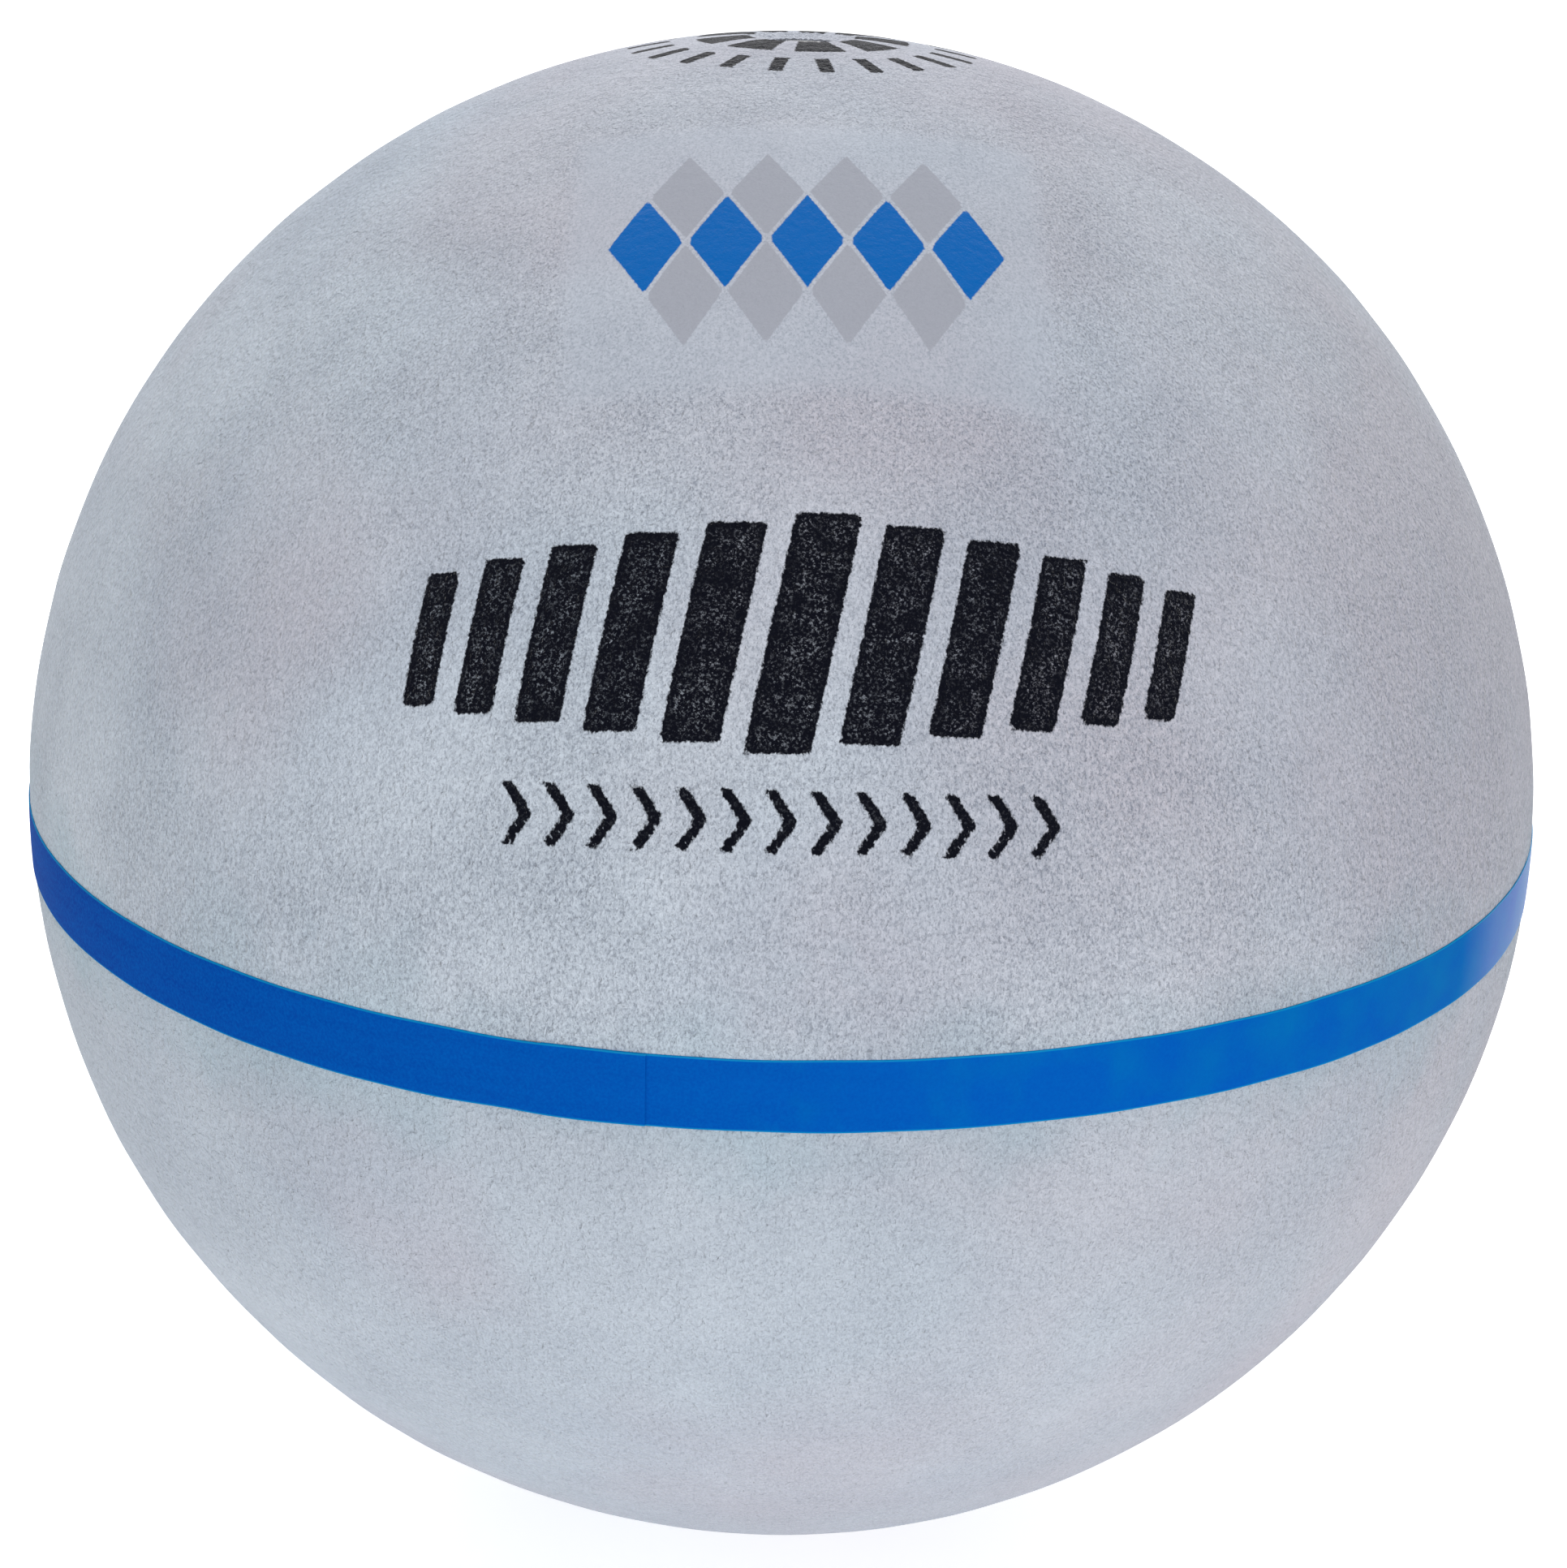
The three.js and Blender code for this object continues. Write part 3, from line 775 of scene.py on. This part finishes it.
def tape_strip():
    """The band as one strip that goes once round the ball and climbs over its own start."""
    lap = TAPE_LAP / ball_radius
    ramp = TAPE_RAMP / ball_radius
    turn = np.append(stations((0, FULL_TURN + lap, TAPE_STEP)), FULL_TURN + lap)
    azimuth = TAPE_END - lap + turn
    lift = TAPE_LIFT + (TAPE_THICKNESS + TAPE_LIFT) * smooth_step(FULL_TURN - ramp, FULL_TURN, turn)
    circle = on_sphere(EQUATOR, azimuth, ball_radius)
    wander = TAPE_WANDER * waves(circle, WANDER_LENGTH, WANDER_SEED)
    half = tape_width / 2 + TAPE_WAVINESS * waves(circle, WAVINESS_LENGTH, WAVINESS_SEED)

    upper_side = np.array(TAPE_SECTION, dtype=float)
    lower_side = upper_side[:0:-1] * (-1, 1)
    across, crown = np.vstack([lower_side, upper_side]).T
    loop_across = np.concatenate([across, across[::-1]])
    loop_height = np.concatenate([crown * TAPE_THICKNESS, np.zeros(len(across))])
    heights = wander[:, None] + half[:, None] * loop_across
    radius = ball_radius + lift[:, None] + loop_height
    grid = on_sphere(EQUATOR - heights / ball_radius, azimuth[:, None], radius)
    from_edge = half[:, None] * (1 - np.abs(loop_across))
    grid_piece("blue_tape", grid, calendered_tape(), "seam_band", caps=True,
               marks={"from_edge": from_edge})


def turned(name, node, material, body="ball"):
    """A CAD node turned again with smooth walls and slightly rounded edges."""
    outline = np.array(profile_of(node))
    reach, azimuths = np.meshgrid(outline[:, 0], all_round(TURNED_STEP), indexing="ij")
    height = np.broadcast_to(outline[:, 1:], reach.shape)
    grid = np.stack([reach * np.cos(azimuths), reach * np.sin(azimuths), height], axis=-1)
    piece = grid_piece(name, grid, material, node, body, wrap_rows=outline[0, 0] > 0)
    rounding = piece.modifiers.new("moulded edges", "BEVEL")
    rounding.width = EDGE_ROUNDING * MM
    rounding.segments = 2
    rounding.limit_method = "ANGLE"


# Studio

def shown(owner):
    """One for what the camera sees, also mirrored or through glass, and zero for light that falls on
    things."""
    ray = add_node(owner, "ShaderNodeLightPath", {}).outputs
    mirrored = add_node(
        owner, "ShaderNodeMath", {0: ray["Is Camera Ray"], 1: ray["Is Glossy Ray"]},
        operation="MAXIMUM").outputs[0]
    return add_node(
        owner, "ShaderNodeMath", {0: mirrored, 1: ray["Is Transmission Ray"]},
        operation="MAXIMUM").outputs[0]


def floor_paint():
    """White floor paint, rolled on: matt and slightly uneven. Its glow makes it whiter for the camera, and
    more so away from the ball."""
    material = new_material("matt white-painted floor")
    place = add_node(material, "ShaderNodeTexCoord", {}).outputs["Object"]
    # The roller left about three patches to the metre.
    uneven = add_node(material, "ShaderNodeTexNoise", {"Vector": place, "Scale": 3}).outputs["Fac"]
    colour = tinted(material, linear("#E6E6E6"), {"uneven": uneven}, (
        ("uneven", 0, 1, 1, "#EAEAEA"),
    ))
    off_centre = add_node(material, "ShaderNodeVectorMath", {0: place}, operation="LENGTH").outputs["Value"]
    lift = add_node(
        material, "ShaderNodeMapRange",
        {"Value": off_centre, "From Min": FLOOR_LIFT_REACH[0], "From Max": FLOOR_LIFT_REACH[1],
         "To Min": FLOOR_LIFTS[0], "To Max": FLOOR_LIFTS[1]}).outputs[0]
    glow = add_node(
        material, "ShaderNodeMapRange", {"Value": shown(material), "To Max": lift}).outputs[0]
    return finish_material(material, {
        "Base Color": colour, "Roughness": 0.9, "Specular IOR Level": 0,
        "Emission Color": linear("#FFFFFF"), "Emission Strength": glow,
    })


def make_floor():
    """A square floor under the ball."""
    mesh = bpy.data.meshes.new("floor")
    sides = ((-1, -1), (1, -1), (1, 1), (-1, 1))
    corners = [(x * FLOOR_REACH, y * FLOOR_REACH, floor_height) for x, y in sides]
    mesh.from_pydata(corners, [], [(0, 1, 2, 3)])
    mesh.materials.append(floor_paint())
    floor = bpy.data.objects.new("floor", mesh)
    bpy.context.scene.collection.objects.link(floor)


def make_world():
    """Even light from all sides, and a white ground for the camera."""
    world = bpy.data.worlds.new("studio")
    world.use_nodes = True
    world.node_tree.nodes.clear()
    level = add_node(
        world, "ShaderNodeMapRange", {"Value": shown(world), "To Min": WORLD_LIGHT, "To Max": 1}).outputs[0]
    sky = add_node(world, "ShaderNodeBackground", {"Color": linear("#FFFFFF"), "Strength": level})
    add_node(world, "ShaderNodeOutputWorld", {"Surface": sky.outputs[0]})
    bpy.context.scene.world = world


def softbox(name, place, width, height, power):
    """An area light, with its power in watts, that faces the ball and that the camera doesn't see."""
    lamp = bpy.data.lights.new(name, "AREA")
    lamp.shape = "RECTANGLE"
    lamp.size = width
    lamp.size_y = height
    lamp.energy = power
    light = bpy.data.objects.new(name, lamp)
    light.location = place
    light.rotation_euler = (-Vector(place)).to_track_quat("-Z", "Y").to_euler()
    light.visible_camera = False
    bpy.context.scene.collection.objects.link(light)


def make_camera():
    """The camera at the photograph's angle."""
    camera = bpy.data.cameras.new("camera")
    camera.lens = CAMERA_LENS
    camera.sensor_width = CAMERA_SENSOR
    camera.shift_x, camera.shift_y = [pixels / PHOTO_HEIGHT for pixels in FRAMING_SHIFT]
    viewer = bpy.data.objects.new("camera", camera)
    toward = on_sphere(EQUATOR - CAMERA_ELEVATION, -EQUATOR)
    viewer.location = toward * CAMERA_DISTANCE * MM
    level = Euler((EQUATOR - CAMERA_ELEVATION, 0, 0)).to_quaternion()
    viewer.rotation_euler = (level @ Euler((0, 0, CAMERA_ROLL)).to_quaternion()).to_euler()
    bpy.context.scene.collection.objects.link(viewer)
    bpy.context.scene.camera = viewer


# Leather halves

upper_azimuths = np.radians(stations(
    (-FINE_FRONT, FINE_FRONT, FRONT_STEP),
    (FINE_FRONT, 360 - FINE_FRONT, BACK_STEP),
) + FRONT_AZIMUTH)
upper_arcs = stations(
    (hole_radius, VALVE_PRINT_END, 0.35),
    (VALVE_PRINT_END, BAR_PRINT_START, 1.0),
    (BAR_PRINT_START, BAR_PRINT_END, 0.8),
    (BAR_PRINT_END, leather_outside.last * ball_radius, 1.6),
)
upper_leather = napped_leather(
    "napped chrome leather, upper half", "#D3DCE7", "#868F9D", 0.32, 0.54, UPPER_CUT, True)
layer("leather_upper", "upper_cover", upper_leather, upper_azimuths,
      upper_arcs / ball_radius, formed, upper_marks)

lower_polars = stations((lower_outside.first, lower_outside.last, LOWER_RING_STEP))
lower_leather = napped_leather(
    "napped chrome leather, lower half", "#C7D0DB", "#868E9E", 0.17, 0.3, LOWER_CUT, False)
layer("leather_lower", "lower_cover", lower_leather, all_round(LOWER_STEP),
      lower_polars, formed)

# Band

tape_strip()

# Layers inside

inner_azimuths = all_round(INNER_STEP)
cotton = woven_cotton()
butyl = rubber("dipped butyl rubber, black", "#1C1C1F", "#323236", 1.5, 0.6)
layer("cloth_lining_upper", "upper_lining", cotton, inner_azimuths)
layer("cloth_lining_lower", "lower_lining", cotton, inner_azimuths)
layer("cloth_joint_tape", "joint_tape", cotton, inner_azimuths)
layer("thread_winding", "winding", wound_thread(), inner_azimuths,
      outer_radius=thread_relief)
layer("rubber_bladder", "bladder", butyl, inner_azimuths)

# Balance patch and valve

turned("rubber_balance_patch", "balance_patch", butyl)
turned("valve_housing", "valve_body",
       rubber("moulded rubber, black", "#161617", "#29292C", 0.6, 0.5))
turned("needle_plug", "valve_plug",
       rubber("moulded soft rubber, black", "#1E1E20", "#343437", 0.6, 0.6), "plug")

# Floor, lights and camera

make_floor()
make_world()
softbox("softbox_above", (-0.1, 0.2, 1.5), 1.6, 1.6, 13.2)
softbox("softbox_behind", (0, 1.6, 0.8), 2.0, 0.8, 24)
softbox("softbox_front", (0.1, -1.6, 0.6), 1.2, 1.2, 3.0)
softbox("strip_low", (0.15, -0.7, -0.05), 1.0, 0.08, 1.5)
softbox("light_panel_below", (0, 0, floor_height + MM), 0.3, 0.3, 0.13)
make_camera()
bpy.context.scene.view_settings.view_transform = "Standard"
